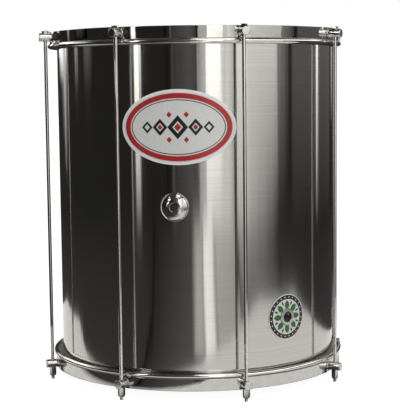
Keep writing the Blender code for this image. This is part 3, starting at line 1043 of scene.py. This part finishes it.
def shows_to_background_rays(tree):
    """1 for camera, glossy and transmission rays, which see the plain white studio."""
    path = add(tree, 'ShaderNodeLightPath')
    shows = path.outputs["Is Camera Ray"]
    for ray in ("Is Glossy Ray", "Is Transmission Ray"):
        either = add(tree, 'ShaderNodeMath', operation='MAXIMUM')
        tree.links.new(shows, either.inputs[0])
        tree.links.new(path.outputs[ray], either.inputs[1])
        shows = either.outputs[0]
    return shows


def make_world():
    world = bpy.data.worlds.new("studio")
    bpy.context.scene.world = world
    world.use_nodes = True
    tree = world.node_tree
    tree.nodes.clear()
    seen = add(tree, 'ShaderNodeBackground')
    seen.inputs["Color"].default_value = white
    seen.inputs["Strength"].default_value = background_glow
    fill = add(tree, 'ShaderNodeBackground')
    fill.inputs["Color"].default_value = white
    fill.inputs["Strength"].default_value = world_fill
    mix = add(tree, 'ShaderNodeMixShader')
    out = add(tree, 'ShaderNodeOutputWorld')
    tree.links.new(shows_to_background_rays(tree), mix.inputs["Fac"])
    tree.links.new(fill.outputs[0], mix.inputs[1])
    tree.links.new(seen.outputs[0], mix.inputs[2])
    tree.links.new(mix.outputs[0], out.inputs["Surface"])


def make_floor():
    """A white floor that goes on as the white background, and keeps the drum's shadow."""
    material = bpy.data.materials.new("floor_white")
    material.use_nodes = True
    tree = material.node_tree
    tree.nodes.clear()
    paper = add(tree, 'ShaderNodeBsdfDiffuse')
    paper.inputs["Color"].default_value = (*[floor_reflectance] * 3, 1.0)
    glow = add(tree, 'ShaderNodeEmission')
    glow.inputs["Color"].default_value = white
    level = add(tree, 'ShaderNodeMath', operation='MULTIPLY')
    level.inputs[1].default_value = floor_glow
    both = add(tree, 'ShaderNodeAddShader')
    out = add(tree, 'ShaderNodeOutputMaterial')
    tree.links.new(shows_to_background_rays(tree), level.inputs[0])
    tree.links.new(level.outputs[0], glow.inputs["Strength"])
    tree.links.new(paper.outputs[0], both.inputs[0])
    tree.links.new(glow.outputs[0], both.inputs[1])
    tree.links.new(both.outputs[0], out.inputs["Surface"])
    shape = bmesh.new()
    bmesh.ops.create_grid(shape, x_segments=1, y_segments=1, size=floor_half_size)
    floor = new_stage_mesh("floor", shape, material)
    floor.location.z = cad_low.z - floor_drop


def make_card_material():
    """A plain glow whose strength is the card's own corner values."""
    material = bpy.data.materials.new("card")
    material.use_nodes = True
    tree = material.node_tree
    tree.nodes.clear()
    glow = add(tree, 'ShaderNodeEmission')
    glow.inputs["Color"].default_value = card_colour
    level = add(tree, 'ShaderNodeAttribute', attribute_name="glow")
    out = add(tree, 'ShaderNodeOutputMaterial')
    tree.links.new(level.outputs["Fac"], glow.inputs["Strength"])
    tree.links.new(glow.outputs[0], out.inputs["Surface"])
    return material


card_material = make_card_material()


def only_for_reflections(obj):
    obj.visible_camera = False
    obj.visible_diffuse = False
    obj.visible_shadow = False
    obj.visible_transmission = False


def on_stage(turn, radius, height):
    """A point at an angle in degrees from the camera's side, positive to the right."""
    angle = camera_azimuth + math.radians(turn)
    return (radius * math.sin(angle), -radius * math.cos(angle), height)


def smooth_step(share):
    return share * share * (3 - 2 * share)


def card(name, start, end, low, high, strengths, feather=(0.0, 0.0)):
    """A studio card that only reflections see, from turn to turn round the drum.

    low and high are its (radius, height) along its two long edges, so it stands or lies.
    strengths are its glow at the low start, low end, high start and high end; feather
    is the share of its width and of its height that fades out at both edges.
    """
    across = max(8, int(abs(end - start) / card_grid_turn))
    shape = bmesh.new()
    layer = shape.verts.layers.float.new("glow")
    grid = []
    for j in range(card_rows + 1):
        v = j / card_rows
        row = []
        for i in range(across + 1):
            u = i / across
            vert = shape.verts.new(on_stage(start + (end - start) * u,
                                            low[0] + (high[0] - low[0]) * v,
                                            low[1] + (high[1] - low[1]) * v))
            below = strengths[0] + (strengths[1] - strengths[0]) * u
            above = strengths[2] + (strengths[3] - strengths[2]) * u
            fade = 1.0
            for place, edge in ((u, feather[0]), (v, feather[1])):
                if edge:
                    fade *= smooth_step(min(1.0, place / edge, (1 - place) / edge))
            vert[layer] = (below + (above - below) * v) * fade
            row.append(vert)
        grid.append(row)
    for lower, upper in zip(grid, grid[1:]):
        for i in range(across):
            shape.faces.new((lower[i], lower[i + 1], upper[i + 1], upper[i]))
    only_for_reflections(new_stage_mesh(name, shape, card_material))


def sheet_edge(turn):
    """How far the sheet reaches at a turn, along the straight line between two corners."""
    for (start, near), (end, far) in zip(sheet_corners, sheet_corners[1:]):
        if start <= turn <= end:
            before = math.radians(turn - start)
            after = math.radians(end - turn)
            return near * far * math.sin(before + after) \
                / (near * math.sin(before) + far * math.sin(after))


def white_sheet():
    """A white sheet under the drum that only reflections see, with dark cloth beyond it."""
    shape = bmesh.new()
    layer = shape.verts.layers.float.new("glow")
    spokes = []
    for turn in range(-180, 181, sheet_grid_turn):
        spoke = []
        feather = soft_feather if soft_turns[0] <= turn <= soft_turns[1] else crisp_feather
        edge = sheet_edge(turn) - feather / 2
        # Painted shadow: the glow falls towards the drum's foot, where the drum would shade the
        # sheet
        rings = [(min(radius, edge), glow) for radius, glow in sheet_painted_shadow]
        rings += [(edge, sheet_glow), (edge + feather, sheet_edge_glow)]
        for radius, glow in rings:
            vert = shape.verts.new(on_stage(turn, radius, cad_low.z - cloth_rise))
            vert[layer] = glow
            spoke.append(vert)
        spokes.append(spoke)
    for first, second in zip(spokes, spokes[1:]):
        for k in range(len(first) - 1):
            shape.faces.new((first[k], second[k], second[k + 1], first[k + 1]))
    only_for_reflections(new_stage_mesh("white_sheet", shape, card_material))


def make_lamp():
    key = bpy.data.lights.new("key", 'AREA')
    key.shape = 'RECTANGLE'
    key.size, key.size_y = lamp_size
    key.energy = lamp_power
    lamp = new_object("key", key)
    lamp.location = lamp_place
    lamp.rotation_euler = (lamp_aim - lamp.location).to_track_quat('-Z', 'Y').to_euler()
    lamp.visible_glossy = False
    lamp.visible_camera = False


def make_studio():
    make_world()
    make_floor()
    foot = cad_low.z - floor_drop
    card("dark_wall", -180, 180, (room_radius, foot), (room_radius, wall_height),
         [dark_wall_glow] * 4)
    card("ceiling", -180, 180, (room_centre, wall_height), (room_radius, wall_height),
         [ceiling_glow] * 4)
    near, far = overhead_reach
    height = wall_height - overhead_drop
    card("overhead_softbox", *overhead_turns, (near, height), (far, height),
         [overhead_glow] * 4, overhead_feather)
    card("dark_cloth", -180, 180, (room_centre, foot + cloth_rise),
         (room_radius, foot + cloth_rise),
         (cloth_glow, cloth_glow, dark_wall_glow, dark_wall_glow))
    white_sheet()
    for i, (name, start, end, bottom, top, strengths, feather) in enumerate(wall_cards):
        radius = wall_radius - card_step * i
        card(name, start, end, (radius, foot + bottom), (radius, top), strengths, feather)
    for i, (name, start, end, near, far, strengths, feather) in enumerate(floor_cards):
        height = foot + floor_drop * (floor_card_rise + floor_card_step * i)
        card(name, start, end, (near, height), (far, height), strengths, feather)
    make_lamp()


def make_camera():
    data = bpy.data.cameras.new("camera")
    camera = new_object("camera", data)
    bpy.context.scene.camera = camera
    long_side = max(image_width, image_height)
    data.sensor_width = sensor_size
    data.lens = focal_pixels * sensor_size / long_side
    data.shift_x = (image_width / 2 - principal_x) / long_side
    data.shift_y = (principal_y - image_height / 2) / long_side
    data.clip_start, data.clip_end = camera_clip
    ahead = Vector((-math.sin(camera_azimuth) * math.cos(camera_pitch),
                    math.cos(camera_azimuth) * math.cos(camera_pitch), math.sin(camera_pitch)))
    level_right = Vector((math.cos(camera_azimuth), math.sin(camera_azimuth), 0.0))
    level_up = level_right.cross(ahead)
    right = level_right * math.cos(camera_roll) + level_up * math.sin(camera_roll)
    up = level_up * math.cos(camera_roll) - level_right * math.sin(camera_roll)
    place = Vector(on_stage(0, camera_distance, camera_height))
    facing = Matrix((right, up, -ahead)).transposed().to_4x4()
    camera.matrix_world = Matrix.Translation(place) @ facing


make_studio()
make_camera()
bpy.context.scene.view_settings.view_transform = 'Standard'
